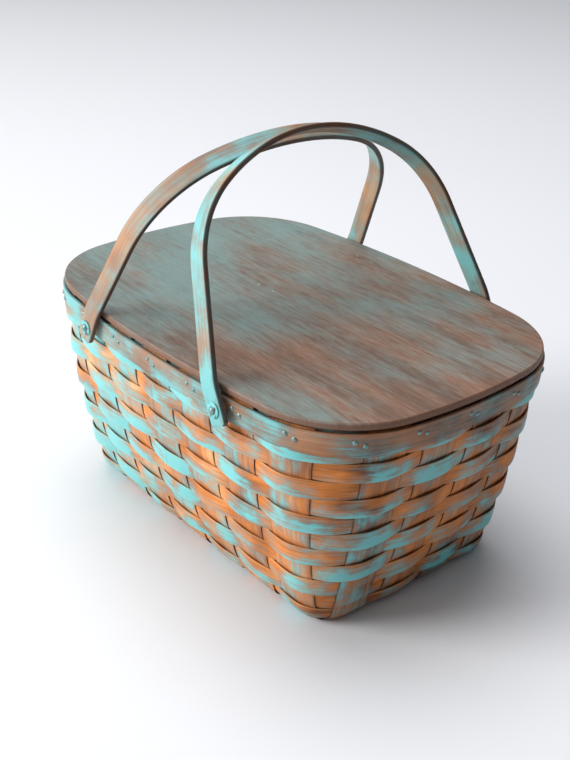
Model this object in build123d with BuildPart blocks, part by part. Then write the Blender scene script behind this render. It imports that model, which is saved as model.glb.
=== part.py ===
from build123d import *

import os
from math import asin, atan2, cos, degrees, radians, sin

# Covered splint basket: woven body, flat lift-off lid and two bentwood swing handles.
# Millimetres, +Z up. The origin is on the floor under the middle of the basket, and +X runs
# along its long side.

os.makedirs("parts", exist_ok=True)

# ---- lid ----
lid_length = 460.0
lid_width = 322.0
lid_thickness = 6.5
lid_clearance = 0.3  # under the board, above the inner rim band
lid_corner_radius = 96.0
lid_side_bow = 18.6  # how far a long edge bows outwards, from corner to middle
lid_end_bow = 20.3  # the same for a short edge
lid_edge_round = 1.2
batten_place = -40.0  # middle of the batten along the lid
batten_width = 42.0
batten_thickness = 6.0
batten_end_gap = 8.0  # from each end of the batten to the inner rim band
lid_nail_head = 2.6
lid_nail_height = 0.3
lid_nail_shank = 1.2

# ---- woven body ----
rim_height = 216.2  # top of the inner rim band, which the lid rests on
base_length = 366.0  # across the woven face, where the walls would meet the floor
base_width = 221.0
base_corner_radius = 28.0
base_side_bow = 2.0
base_end_bow = 2.0
base_edge_round = 16.0
side_belly = 8.0  # how far a long wall swells out halfway up
end_belly = 3.0
splint_thickness = 1.3
weaver_rows = 11
first_row_height = 11.0  # middle of the lowest weaver
last_row_below_rim = 22.8  # from the middle of the highest weaver up to the rim
row_gap = 0.44  # between one weaver and the next
layer_gap = 0.1  # between one layer of splints and the next

# ---- stakes, the upright splints that cross under the base ----
stake_width = 38.0
cross_stakes = 7
cross_margin_base = 33.0  # from an end of the base to the middle of the outermost stake
cross_margin_rim = 65.0  # the same, from an end of the lid
long_stakes = 4
long_margin_base = 32.5
long_margin_rim = 75.5

# ---- rim bands ----
rim_overhang = 2.0  # the outer band stands this far outside the lid's edge
outer_band_thickness = 3.0
outer_band_below_rim = 1.8  # from its top edge up to the top of the inner band
outer_band_height = 22.0
inner_band_thickness = 3.0
inner_band_height = 24.0

# ---- brads through the rim ----
brad_head = 4.6
brad_head_height = 1.3
brad_head_taper = 35.0
brad_shank = 1.1
brad_length = 9.0
brad_pairs = 24
brad_first = 0.5  # where the first pair sits, in shares of the spacing between pairs
brad_pair_gap = 9.0
brad_stagger = 3.0
brad_below_band_top = 8.9

# ---- handles ----
pivot_place = 97.0  # each side of the middle of the basket
pivot_below_band_top = 10.9
strap_width = 19.5
strap_thickness = 5.0
strap_edge_round = 0.8
foot_length = 14.5  # below the pivot
leg_upright = 15.0  # above the pivot, before the leg bends in
leg_bend_radius = 60.0
strap_inside_band = 1.0  # the legs stand this far inside the widest part of the outer band
left_height = 193.7  # from the pivots to the middle of the crown
left_leg_lean = 10.3  # degrees that the leg leans in after its bend
left_arch_rise = 118.0  # height of the handle that is not straight leg
left_shoulder_radius = 101.0
left_crown_place = 14.83  # where the crown rests, short of the middle of the basket
handle_height_step = 12.8  # the right handle is this much taller and passes over the left
right_leg_lean = 12.2
right_arch_rise = 118.5
right_shoulder_radius = 96.5
right_crown_place = 5.18

# ---- rivets ----
rivet_shank = 4.0
rivet_hole_clearance = 0.1
rivet_head = 8.0
rivet_head_height = 2.6
rivet_tail = 6.0
rivet_tail_height = 1.4
washer_diameter = 14.5
washer_thickness = 1.2
spacer_diameter = 12.0
burr_diameter = 10.0
burr_thickness = 1.0
axial_play = 0.2

cutter = 1000.0  # larger than the basket

row_pitch = (rim_height - last_row_below_rim - first_row_height) / (weaver_rows - 1)
weaver_width = row_pitch - row_gap
cross_pitch_base = (base_length - 2 * cross_margin_base) / (cross_stakes - 1)
cross_pitch_rim = (lid_length - 2 * cross_margin_rim) / (cross_stakes - 1)
long_pitch_base = (base_width - 2 * long_margin_base) / (long_stakes - 1)
long_pitch_rim = (lid_width - 2 * long_margin_rim) / (long_stakes - 1)
outer_band_top = rim_height - outer_band_below_rim
pivot_height = outer_band_top - pivot_below_band_top
strap_half_span = lid_width / 2 + rim_overhang - strap_inside_band
right_height = left_height + handle_height_step
left_leg_length = left_height - left_arch_rise
right_leg_length = right_height - right_arch_rise
left_rest_lean = degrees(asin((pivot_place - left_crown_place) / left_height))
right_rest_lean = degrees(asin((pivot_place - right_crown_place) / right_height))

outer_band_offset = -layer_gap - outer_band_thickness
cross_inset = splint_thickness + layer_gap
long_inset = 2 * cross_inset
inner_band_inset = 3 * cross_inset
body_top_length = lid_length + 2 * (rim_overhang + outer_band_offset)
body_top_width = lid_width + 2 * (rim_overhang + outer_band_offset)


def rounded_outline(plane, length, width, side_bow, end_bow, corner_radius):
    """A rectangle with bowed sides and rounded corners."""
    corner_x = length / 2 - end_bow
    corner_y = width / 2 - side_bow
    with BuildSketch(plane) as outline:
        with BuildLine():
            for side in (-1, 1):
                ThreePointArc(
                    (-side * corner_x, side * corner_y),
                    (0, side * width / 2),
                    (side * corner_x, side * corner_y),
                )
                ThreePointArc(
                    (side * corner_x, side * corner_y),
                    (side * length / 2, 0),
                    (side * corner_x, -side * corner_y),
                )
        make_face()
        fillet(outline.vertices(), corner_radius)
    return outline.sketch


def wall_outline(height, inset):
    """The wall's outline at one height, moved in from the woven face."""
    share = height / rim_height
    swell = 4 * share * (1 - share)

    def between(base, rim):
        return base + (rim - base) * share

    return rounded_outline(
        Plane.XY.offset(height),
        between(base_length, body_top_length) + 2 * (end_belly * swell - inset),
        between(base_width, body_top_width) + 2 * (side_belly * swell - inset),
        between(base_side_bow, lid_side_bow),
        between(base_end_bow, lid_end_bow),
        between(base_corner_radius, lid_corner_radius + rim_overhang + outer_band_offset) - inset,
    )


def bowl(inset, floor):
    """A solid the shape of the basket, moved in from the woven face and raised to a floor.

    One corner is kept and mirrored, so all four are alike.
    """
    with BuildPart() as solid:
        loft(sections=[wall_outline(height, inset) for height in (floor, rim_height / 2, rim_height)])
        fillet(solid.faces().sort_by(Axis.Z)[0].edges(), base_edge_round - inset)
        with BuildSketch():
            Rectangle(cutter, cutter, align=(Align.MIN, Align.MIN))
        extrude(amount=cutter, both=True, mode=Mode.INTERSECT)
        mirror(about=Plane.XZ)
        mirror(about=Plane.YZ)
    return solid.part


def layer(inset, floor, thickness):
    """One layer of the basket, open at the top."""
    with BuildPart() as shell:
        add(bowl(inset, floor))
        add(bowl(inset + thickness, floor + thickness), mode=Mode.SUBTRACT)
    return shell.part


def wall(inset, thickness):
    """The walls of one layer, with neither floor nor top."""
    with BuildPart() as shell:
        add(bowl(inset, 0))
        add(bowl(inset + thickness, 0), mode=Mode.SUBTRACT)
    return shell.part


def save(piece, name):
    """Label a piece and write its STEP file."""
    piece.label = name
    export_step(piece, f"parts/{name}.step")


def rivet_rods(radius):
    """Rods along the two pivot axes, right across the basket."""
    with BuildPart() as rods:
        with BuildSketch(Plane.XZ):
            with Locations((-pivot_place, pivot_height), (pivot_place, pivot_height)):
                Circle(radius)
        extrude(amount=cutter / 2, both=True)
    return rods.part


rivet_holes = rivet_rods(rivet_shank / 2 + layer_gap)


# ---- weavers: closed hoops, each split from one sleeve of splint ----
weaver_sleeve = wall(0, splint_thickness)
for row in range(weaver_rows):
    row_middle = first_row_height + row * row_pitch
    with BuildPart() as weaver:
        add(weaver_sleeve)
        with BuildSketch(Plane.XY.offset(row_middle - weaver_width / 2)):
            Rectangle(cutter, cutter)
        extrude(amount=weaver_width, mode=Mode.INTERSECT)
        add(rivet_holes, mode=Mode.SUBTRACT)
    save(weaver.part, f"weaver_{row + 1:02d}")


# ---- stakes: splints that run down one wall, under the base and up the other ----
def stake(sheet, view, middle_base, middle_rim):
    """One stake, cut from a layer by a strip that fans out towards the rim."""
    half = stake_width / 2
    with BuildPart() as strip:
        add(sheet)
        with BuildSketch(view):
            with BuildLine():
                Polyline(
                    (middle_base - half, 0),
                    (middle_base + half, 0),
                    (middle_rim + half, rim_height),
                    (middle_rim - half, rim_height),
                    close=True,
                )
            make_face()
        extrude(amount=cutter / 2, both=True, mode=Mode.INTERSECT)
        with BuildSketch(Plane.XY.offset(outer_band_top)):
            Rectangle(cutter, cutter)
        extrude(amount=cutter, mode=Mode.SUBTRACT)
        add(rivet_holes, mode=Mode.SUBTRACT)
    return strip.part


cross_sheet = layer(cross_inset, 0, splint_thickness)
for number in range(cross_stakes):
    place = number - (cross_stakes - 1) / 2
    piece = stake(cross_sheet, Plane.XZ, place * cross_pitch_base, place * cross_pitch_rim)
    save(piece, f"cross_stake_{number + 1}")

long_sheet = layer(long_inset, cross_inset, splint_thickness)
for number in range(long_stakes):
    place = number - (long_stakes - 1) / 2
    piece = stake(long_sheet, Plane.YZ, place * long_pitch_base, place * long_pitch_rim)
    save(piece, f"long_stake_{number + 1}")


# ---- rim bands: one hoop outside the weave and one inside it ----
def rim_band(inset, thickness, top, height):
    """A flat hoop that follows the wall at the rim."""
    with BuildPart() as band:
        add(wall(inset, thickness))
        with BuildSketch(Plane.XY.offset(top - height)):
            Rectangle(cutter, cutter)
        extrude(amount=height, mode=Mode.INTERSECT)
        add(rivet_holes, mode=Mode.SUBTRACT)
    return band.part


outer_band = rim_band(outer_band_offset, outer_band_thickness, outer_band_top, outer_band_height)
save(outer_band, "rim_band_outer")
inner_band = rim_band(inner_band_inset, inner_band_thickness, rim_height, inner_band_height)
save(inner_band, "rim_band_inner")


# ---- lid: a flat board with a batten under it ----
lid_underside = rim_height + lid_clearance
lid_top = lid_underside + lid_thickness
lid_plane = Plane.XY.offset(lid_underside)
with BuildPart() as lid_board:
    add(rounded_outline(lid_plane, lid_length, lid_width, lid_side_bow, lid_end_bow, lid_corner_radius))
    extrude(amount=lid_thickness)
    fillet(lid_board.faces().sort_by(Axis.Z)[-1].edges(), lid_edge_round)
save(lid_board.part, "lid_board")

batten_length = body_top_width - 2 * (inner_band_inset + inner_band_thickness + batten_end_gap)
batten_plane = lid_plane.offset(-batten_thickness)
with BuildPart() as lid_batten:
    with BuildSketch(batten_plane):
        with Locations((batten_place, 0)):
            Rectangle(batten_width, batten_length)
    extrude(amount=batten_thickness)
    fillet(lid_batten.faces().sort_by(Axis.Z)[0].edges(), lid_edge_round)
save(lid_batten.part, "lid_batten")

with BuildPart() as lid_nails:
    with BuildSketch(Plane.XY.offset(lid_top)):
        with Locations((batten_place, 0)):
            with GridLocations(batten_width / 2, batten_length / 2.2, 2, 3):
                Circle(lid_nail_head / 2)
    extrude(amount=lid_nail_height)
    with BuildSketch(Plane.XY.offset(lid_top)):
        with Locations((batten_place, 0)):
            with GridLocations(batten_width / 2, batten_length / 2.2, 2, 3):
                Circle(lid_nail_shank / 2)
    extrude(amount=-(lid_thickness + batten_thickness / 2))
save(lid_nails.part, "lid_nails")


# ---- brads: staggered pairs of domed nails right round the rim ----
def brad_plane(share, lift):
    """The face of the outer band at one share of its length round, looking outwards."""
    height = outer_band_top - brad_below_band_top + lift
    here = wall_outline(height, outer_band_offset).wire()
    above = wall_outline(height + brad_stagger, outer_band_offset).wire()
    along = here.tangent_at(share)
    outwards = along.cross((above @ share) - (here @ share)).normalized()
    if outwards.dot(here @ share) < 0:
        outwards = -outwards
    return Plane(origin=here @ share, x_dir=along, z_dir=outwards)


rim_length = wall_outline(outer_band_top, outer_band_offset).wire().length
half_gap = brad_pair_gap / 2 / rim_length
brad_planes = [
    brad_plane((pair + brad_first) / brad_pairs + side * half_gap, side * brad_stagger / 2)
    for pair in range(brad_pairs)
    for side in (-1, 1)
]
with BuildPart() as rim_brads:
    with BuildSketch(*brad_planes):
        Circle(brad_head / 2)
    extrude(amount=brad_head_height, taper=brad_head_taper)
    with BuildSketch(*brad_planes):
        Circle(brad_shank / 2)
    extrude(amount=-brad_length)
save(rim_brads.part, "rim_brads")


# ---- handles: bentwood straps, each a flat arch leaning in over the lid ----
def strap(side, height, leg_lean, leg_length, shoulder_radius, rest_lean):
    """One handle: upright feet, legs that lean in, round shoulders and a flatter crown."""
    lean = radians(leg_lean)
    bend_x = strap_half_span - leg_bend_radius
    leg_x = bend_x + leg_bend_radius * cos(lean) - leg_length * sin(lean)
    leg_y = leg_upright + leg_bend_radius * sin(lean) + leg_length * cos(lean)
    shoulder_x = leg_x - shoulder_radius * cos(lean)
    shoulder_y = leg_y - shoulder_radius * sin(lean)
    crown_inside = height - strap_thickness / 2
    drop = crown_inside - shoulder_y
    crown_radius = (shoulder_x**2 + drop**2 - shoulder_radius**2) / (2 * (drop - shoulder_radius))
    turn = atan2(shoulder_y - crown_inside + crown_radius, shoulder_x)

    tilt = radians(rest_lean)
    up = Vector(-side * sin(tilt), 0, cos(tilt))
    across = Vector(0, 1, 0)
    view = Plane(origin=(side * pivot_place, 0, pivot_height), x_dir=across, z_dir=across.cross(up))
    with BuildPart() as handle:
        with BuildSketch(view):
            with BuildLine():
                for skin in (0, strap_thickness):
                    foot = (strap_half_span + skin, -foot_length)
                    Line(foot, (strap_half_span + skin, leg_upright))
                    bend = CenterArc((bend_x, leg_upright), leg_bend_radius + skin, 0, leg_lean)
                    shoulder = CenterArc(
                        (shoulder_x, shoulder_y),
                        shoulder_radius + skin,
                        leg_lean,
                        degrees(turn) - leg_lean,
                    )
                    Line(bend @ 1, shoulder @ 0)
                    CenterArc(
                        (0, crown_inside - crown_radius),
                        crown_radius + skin,
                        degrees(turn),
                        90 - degrees(turn),
                    )
                Line((strap_half_span, -foot_length), (strap_half_span + strap_thickness, -foot_length))
                mirror(about=Plane.YZ)
            make_face()
        extrude(amount=strap_width / 2, both=True)
        broad_faces = handle.faces().filter_by(Axis((0, 0, 0), view.z_dir))
        fillet(broad_faces.edges(), strap_edge_round)
        add(rivet_rods(rivet_shank / 2 + rivet_hole_clearance), mode=Mode.SUBTRACT)
    return handle.part


left = strap(-1, left_height, left_leg_lean, left_leg_length, left_shoulder_radius, left_rest_lean)
save(left, "handle_left")
right = strap(1, right_height, right_leg_lean, right_leg_length, right_shoulder_radius, right_rest_lean)
save(right, "handle_right")


# ---- rivets with their washers, one set at each foot of each handle ----
strap_outside = strap_half_span + strap_thickness
rivet_axes = [(-pivot_place, pivot_height), (pivot_place, pivot_height)]
washer_start = strap_outside + axial_play
head_start = washer_start + washer_thickness


def discs(diameter, start, end):
    """Discs about the pivot axes on one side of the basket, between two distances from its middle."""
    with BuildPart() as ring:
        with BuildSketch(Plane.XZ.offset(start)):
            with Locations(*rivet_axes):
                Circle(diameter / 2)
        extrude(amount=end - start)
    return ring.part


def both_sides(piece):
    """The same piece on the far side as well."""
    with BuildPart() as pair:
        add(piece)
        mirror(about=Plane.XZ)
    return pair.part


inside_face = body_top_width / 2 - inner_band_inset - inner_band_thickness
burr_start = inside_face - side_belly

with BuildPart() as rivet_washers:
    add(discs(washer_diameter, washer_start, head_start))
    chamfer(rivet_washers.edges().group_by(Axis.Y)[0], washer_thickness / 3)
    add(rivet_holes, mode=Mode.SUBTRACT)
save(both_sides(rivet_washers.part), "rivet_washers")

with BuildPart() as strap_spacers:
    add(discs(spacer_diameter, body_top_width / 2 - side_belly, strap_half_span - axial_play))
    add(bowl(outer_band_offset - layer_gap, -layer_gap), mode=Mode.SUBTRACT)
    add(rivet_holes, mode=Mode.SUBTRACT)
save(both_sides(strap_spacers.part), "strap_spacers")

with BuildPart() as rivet_burrs:
    add(discs(burr_diameter, burr_start, body_top_width / 2))
    add(bowl(inner_band_inset + inner_band_thickness + layer_gap, 1), mode=Mode.INTERSECT)
    add(rivet_holes, mode=Mode.SUBTRACT)
save(both_sides(rivet_burrs.part), "rivet_burrs")

with BuildPart() as rivets:
    add(discs(rivet_shank, burr_start - rivet_tail_height / 2, head_start))
    with BuildSketch(Plane.XZ.offset(head_start)):
        with Locations(*rivet_axes):
            Circle(rivet_head / 2)
    extrude(amount=rivet_head_height)
    fillet(rivets.edges().group_by(Axis.Y)[0], rivet_head_height - layer_gap)
    with BuildSketch(Plane.XZ.offset(burr_start)):
        with Locations(*rivet_axes):
            Circle(rivet_tail / 2)
    extrude(amount=-rivet_tail_height)
save(both_sides(rivets.part), "handle_rivets")
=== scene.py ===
from math import atan2, cos, hypot, pi, radians, sin, sqrt

import bmesh
import bpy
import numpy as np
from mathutils import Matrix, Vector


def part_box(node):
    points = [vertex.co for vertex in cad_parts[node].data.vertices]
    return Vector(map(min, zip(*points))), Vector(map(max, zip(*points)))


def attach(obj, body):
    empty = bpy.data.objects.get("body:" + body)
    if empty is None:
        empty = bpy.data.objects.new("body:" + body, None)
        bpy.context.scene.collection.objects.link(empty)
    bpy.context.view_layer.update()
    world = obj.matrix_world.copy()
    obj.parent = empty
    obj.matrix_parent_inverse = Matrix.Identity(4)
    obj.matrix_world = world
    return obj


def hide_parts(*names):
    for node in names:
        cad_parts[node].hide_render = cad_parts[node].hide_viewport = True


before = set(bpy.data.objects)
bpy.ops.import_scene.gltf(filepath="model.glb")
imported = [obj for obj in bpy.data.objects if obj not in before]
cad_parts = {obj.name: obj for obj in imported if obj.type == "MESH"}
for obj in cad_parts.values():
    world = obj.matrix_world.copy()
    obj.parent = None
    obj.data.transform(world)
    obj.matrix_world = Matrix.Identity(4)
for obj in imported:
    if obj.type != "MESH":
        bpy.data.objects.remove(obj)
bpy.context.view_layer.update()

LID_LOW, LID_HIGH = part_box("lid_board")
MM = 0.001
SEED = 7

bl_info = {
    "name": "Covered splint basket",
    "version": (1, 0, 0),
    "blender": (4, 5, 0),
    "location": "View3D > Sidebar > Basket",
    "description": "Weaves a painted splint basket with a board lid and two bentwood handles",
    "category": "Add Mesh",
}

# The woven wall, in millimetres. It fans out from the base to the rim and swells in between.
RIM_HEIGHT = 216.2
BASE_SIZE = (366.0, 221.0)
TOP_SIZE = (457.8, 319.8)
BASE_BOW = (2.0, 2.0)
TOP_BOW = (20.3, 18.6)
CORNER = (28.0, 94.9)
BELLY = (3.0, 8.0)
FOOT_ROUND = 16.0
FOOT_SLOPE = radians(17)
MID_SKIN = 2.05  # from the woven face to the middle of the weave
ROWS = 11
CROSS_STAKES = 7
LONG_STAKES = 4
CROSS_PITCH = (50.0, 55.0)
LONG_PITCH = (52.0, 57.0)
STAKE_TOP = 214.2
LID_CORNER = 96.0

# The handles, in millimetres and degrees. Each has its side, crown height, leg lean, leg length,
# shoulder radius and the angle at which it leans over the lid.
PIVOT = (97.0, 203.5)
STRAP_SPAN = 162.0  # from the middle of the basket to the inside of a leg
AXIAL_PLAY = 0.2
FOOT_LENGTH = 14.5
LEG_UPRIGHT = 15.0
LEG_BEND = 60.0
HANDLES = {
    "left": (-1, 193.7, 10.3, 75.7, 101.0, 25.1),
    "right": (1, 206.5, 12.2, 88.0, 96.5, 26.4),
}

# The rivets' fittings, in millimetres out from the middle of the basket.
WASHER_THICKNESS = 1.2
SPACER_START = 158.1
BURR_START = 145.0


def linear(code):
    """An sRGB hex code as linear red, green and blue."""
    channels = [int(code[i : i + 2], 16) / 255 for i in (0, 2, 4)]
    return tuple(c / 12.92 if c <= 0.04045 else ((c + 0.055) / 1.055) ** 2.4 for c in channels)


def length_prop(name, description, default):
    return bpy.props.FloatProperty(
        name=name, description=description, default=default, unit="LENGTH", subtype="DISTANCE", precision=5
    )


def colour_prop(name, description, code):
    return bpy.props.FloatVectorProperty(
        name=name, description=description, default=linear(code), subtype="COLOR", size=3, min=0, max=1
    )


class BasketSizes(bpy.types.PropertyGroup):
    splint: length_prop("Splint thickness", "Thickness of weavers and stakes", 0.0013)
    weaver_width: length_prop("Weaver width", "Width of a horizontal splint", 0.0182)
    stake_width: length_prop("Stake width", "Width of an upright splint", 0.038)
    first_row: length_prop("First row", "Height of the middle of the lowest weaver", 0.011)
    row_pitch: length_prop("Row pitch", "Height from one weaver to the next", 0.01824)
    weave_depth: length_prop("Weave depth", "How far a weaver moves out and in from the middle", 0.0012)
    bulge: length_prop("Bulge", "How far a weaver bows out over a stake", 0.0020)
    lean: length_prop("Lean", "How far a weaver's lower edge stands out over the next row", 0.0016)
    band: length_prop("Band thickness", "Thickness of the rim bands", 0.003)
    strap_width: length_prop("Strap width", "Width of a handle's strap", 0.0195)
    strap: length_prop("Strap thickness", "Thickness of a handle's strap", 0.005)


class BasketColours(bpy.types.PropertyGroup):
    paint: colour_prop("Paint", "Turquoise brushed over the wood", "72d0d3")
    paint_deep: colour_prop("Deep paint", "Where the coat is thin and dulled by the stain", "66a3a5")
    wood: colour_prop("Wood", "Orange-brown stain of the splints", "d97f30")
    # the dark grain colour also darkens the stake and strap edges as painted shade
    wood_dark: colour_prop("Dark grain", "Grain and grime in the splints", "5e2f16")
    wood_pale: colour_prop("Raw edge", "Raw wood at worn edges", "f3c48c")
    wash: colour_prop("Lid wash", "Thin grey-green wash on the lid", "6f8f8d")
    lid_wood: colour_prop("Lid wood", "Brown board of the lid", "74503c")
    floor: colour_prop("Floor", "Pale floor under the basket", "dcdde0")


def sizes():
    return bpy.context.scene.basket_sizes


def colours():
    return bpy.context.scene.basket_colours


# ---- the wall as a surface ----
def mix(ends, share):
    """A value between two, at one share of the way up the wall."""
    return ends[0] + (ends[1] - ends[0]) * share


def foot_inset(z):
    """How far the rounded foot draws the wall in near the floor."""
    top = FOOT_ROUND * (1 - sin(FOOT_SLOPE))
    if z >= top:
        return 0.0
    reach = FOOT_ROUND - max(z, 0.0)
    return FOOT_ROUND * cos(FOOT_SLOPE) - sqrt(max(FOOT_ROUND**2 - reach**2, 0))


def rounded_quarter(half_length, half_width, end_bow, side_bow, corner, counts):
    """A quarter of a bowed, rounded rectangle, from the middle of a long side to that of an end.

    A side's arc, the corner's and an end's arc run into each other without a kink.
    """
    corner_x = half_length - end_bow
    corner_y = half_width - side_bow
    side_radius = (corner_x**2 + side_bow**2) / (2 * side_bow)
    end_radius = (corner_y**2 + end_bow**2) / (2 * end_bow)
    side_centre = np.array((0.0, half_width - side_radius))
    end_centre = np.array((half_length - end_radius, 0.0))
    reach = side_radius - corner
    between = end_centre - side_centre
    gap = hypot(*between)
    along = (reach**2 - (end_radius - corner) ** 2 + gap**2) / (2 * gap)
    across = sqrt(max(reach**2 - along**2, 0))
    unit = between / gap
    sideways = np.array((-unit[1], unit[0]))
    options = [side_centre + unit * along + sign * across * sideways for sign in (1, -1)]
    middle = max(options, key=lambda p: p[0] + p[1])
    first = atan2(*(middle - side_centre)[::-1])
    last = atan2(*(middle - end_centre)[::-1])
    runs = (
        (side_centre, side_radius, pi / 2, first),
        (middle, corner, first, last),
        (end_centre, end_radius, last, 0.0),
    )
    points = []
    normals = []
    for (centre, radius, start, end), count in zip(runs, counts):
        for angle in np.linspace(start, end, count, endpoint=False):
            normal = np.array((cos(angle), sin(angle)))
            points.append(centre + radius * normal)
            normals.append(normal)
    points.append(np.array((half_length, 0.0)))
    normals.append(np.array((1.0, 0.0)))
    return np.array(points), np.array(normals)


def whole_loop(values):
    """A quarter's points or normals turned into all four, from the middle of the near long side."""
    near = values * (1, -1)
    far = values * (-1, 1)
    last = values * (-1, -1)
    return np.vstack((near[:-1], values[::-1][:-1], far[:-1], last[::-1][:-1]))


def quarter_outline(z):
    """A quarter of the wall's outline at one height."""
    share = z / RIM_HEIGHT
    swell = 4 * share * (1 - share)
    return rounded_quarter(
        mix((BASE_SIZE[0], TOP_SIZE[0]), share) / 2 + BELLY[0] * swell,
        mix((BASE_SIZE[1], TOP_SIZE[1]), share) / 2 + BELLY[1] * swell,
        mix((BASE_BOW[0], TOP_BOW[0]), share),
        mix((BASE_BOW[1], TOP_BOW[1]), share),
        mix(CORNER, share),
        (44, 26, 24),
    )


def outline(z):
    """The whole outline at one height, anticlockwise from the middle of the near long side."""
    points, normals = quarter_outline(z)
    return whole_loop(points - normals * foot_inset(z)), whole_loop(normals)


def run_lengths(points):
    """Lengths along a closed line, from its first point to each and back to the first."""
    steps = np.linalg.norm(np.roll(points, -1, 0) - points, axis=1)
    return np.concatenate(((0.0,), np.cumsum(steps)))


def stake_places(z):
    """Where the stakes' middles cross the outline, as lengths from the near side's middle."""
    share = z / RIM_HEIGHT
    quarter, normals = quarter_outline(z)
    quarter = quarter - normals * foot_inset(z)
    lengths = np.concatenate(((0.0,), np.cumsum(np.linalg.norm(np.diff(quarter, axis=0), axis=1))))
    total = 4 * lengths[-1]

    def from_side(x):
        return np.sign(x) * np.interp(abs(x), quarter[:, 0], lengths)

    def from_end(y):
        return np.sign(y) * (lengths[-1] - np.interp(abs(y), quarter[::-1, 1], lengths[::-1]))

    xs = [(n - (CROSS_STAKES - 1) / 2) * mix(CROSS_PITCH, share) for n in range(CROSS_STAKES)]
    ys = [(n - (LONG_STAKES - 1) / 2) * mix(LONG_PITCH, share) for n in range(LONG_STAKES)]
    places = [from_side(x) % total for x in xs]
    places += [total / 4 + from_end(y) for y in ys]
    places += [total / 2 - from_side(x) for x in xs[::-1]]
    places += [3 * total / 4 - from_end(y) for y in ys[::-1]]
    return places, total


def passes_over(row, crossing):
    """Whether the weaver runs outside the stake; rows count down from the rim."""
    if crossing == CROSS_STAKES and row >= ROWS - 3:
        return False
    return (row + crossing) % 2 == 0


def smooth(t):
    """Eases from 0 to 1."""
    t = np.clip(t, 0, 1)
    return t * t * (3 - 2 * t)


def weave_offsets(lengths, row, z, depth, bulge):
    """How far out from the middle of the weave one weaver runs, along its length."""
    places, total = stake_places(z)
    order = np.argsort(places)
    middles = np.array(places)[order]
    levels = np.array([1.0 if passes_over(row, k) else -1.0 for k in order])
    out = np.zeros_like(lengths)
    raised = np.zeros_like(lengths)
    hold = 15.0
    for i, s in enumerate(lengths):
        after = np.searchsorted(middles, s) % len(middles)
        before = after - 1
        low = middles[before] - (total if middles[before] > s else 0)
        high = middles[after] + (total if middles[after] < s else 0)
        share = smooth((s - low - hold) / max(high - low - 2 * hold, 1))
        level = levels[before] * (1 - share) + levels[after] * share
        near = min(s - low, high - s)
        peak = cos(min(near / 26.0, 1) * pi / 2) ** 2
        here = levels[before] if s - low < high - s else levels[after]
        extra = bulge * peak * (1.0 if here > 0 else -0.25)
        out[i] = depth * level + extra
        raised[i] = 0.5 + 0.5 * level
    return out, raised


# ---- mesh helpers ----
# A woven or bent strip has its own height, depth and wear at every point, which no primitive or
# modifier gives, so each strip's tube is laid through its points.
def new_object(name, mesh):
    piece = bpy.data.objects.new(name, mesh)
    bpy.context.scene.collection.objects.link(piece)
    return piece


def only(piece):
    """Selects one piece and makes it active."""
    bpy.ops.object.select_all(action="DESELECT")
    piece.select_set(True)
    bpy.context.view_layer.objects.active = piece


def band_section(half_width, half_depth, crown=0.0, columns=7):
    """A flat strip's section as (across, depth, edge) points, going round once."""
    across = np.linspace(-1, 1, columns)
    nip = min(0.35 / half_width, 0.08)
    across[0], across[-1] = -1 + nip, 1 - nip
    front = [(a * half_width, half_depth + crown * (1 - a * a), 0.0) for a in across]
    back = [(a * half_width, -half_depth + crown * (1 - a * a), 0.0) for a in across[::-1]]
    right = [(half_width, half_depth * 0.45, 1.0), (half_width, -half_depth * 0.45, 1.0)]
    left = [(-half_width, -half_depth * 0.45, 1.0), (-half_width, half_depth * 0.45, 1.0)]
    section = front + right + back + left
    marks = [0.0] * len(section)
    for corner in (0, columns - 1, columns + 2, 2 * columns + 1):
        marks[corner] = 0.7
    return [(a, d, max(e, m)) for (a, d, e), m in zip(section, marks)]


def swept_mesh(name, rings, strip, edge, raised, closed):
    """A tube of quads through rings of points, with its place on the strip kept for the materials."""
    rings = np.asarray(rings)
    count, size, _ = rings.shape
    points = rings.reshape(-1, 3) * MM
    faces = []
    spans = count if closed else count - 1
    for i in range(spans):
        a = i * size
        b = ((i + 1) % count) * size
        for j in range(size):
            k = (j + 1) % size
            faces.append((a + j, a + k, b + k, b + j))
    if not closed:
        faces.append(tuple(range(size))[::-1])
        faces.append(tuple((count - 1) * size + j for j in range(size)))
    mesh = bpy.data.meshes.new(name)
    mesh.from_pydata(points.tolist(), [], faces)
    layer = mesh.attributes.new("strip", "FLOAT_VECTOR", "POINT")
    layer.data.foreach_set("vector", np.asarray(strip, float).reshape(-1))
    worn = mesh.attributes.new("edge", "FLOAT", "POINT")
    worn.data.foreach_set("value", np.asarray(edge, float).reshape(-1))
    high = mesh.attributes.new("raised", "FLOAT", "POINT")
    high.data.foreach_set("value", np.asarray(raised, float).reshape(-1))
    work = bmesh.new()
    work.from_mesh(mesh)
    bmesh.ops.recalc_face_normals(work, faces=work.faces)
    work.to_mesh(mesh)
    work.free()
    return mesh


def finish_piece(piece, node, body, material, angle=35):
    """Smooth a piece, give it its material and tie it to its place in the frame."""
    only(piece)
    bpy.ops.object.shade_smooth_by_angle(angle=radians(angle))
    piece.data.materials.clear()
    piece.data.materials.append(material)
    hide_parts(node)
    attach(piece, body)
    return piece


def wobble(rng, lengths, total, size, waves=4):
    """A gentle hand-made unevenness that closes on itself."""
    out = np.zeros_like(lengths)
    for n in range(1, waves + 1):
        out += rng.normal(0, size / n) * np.sin(2 * pi * n * lengths / total + rng.uniform(0, 2 * pi))
    return out


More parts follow.
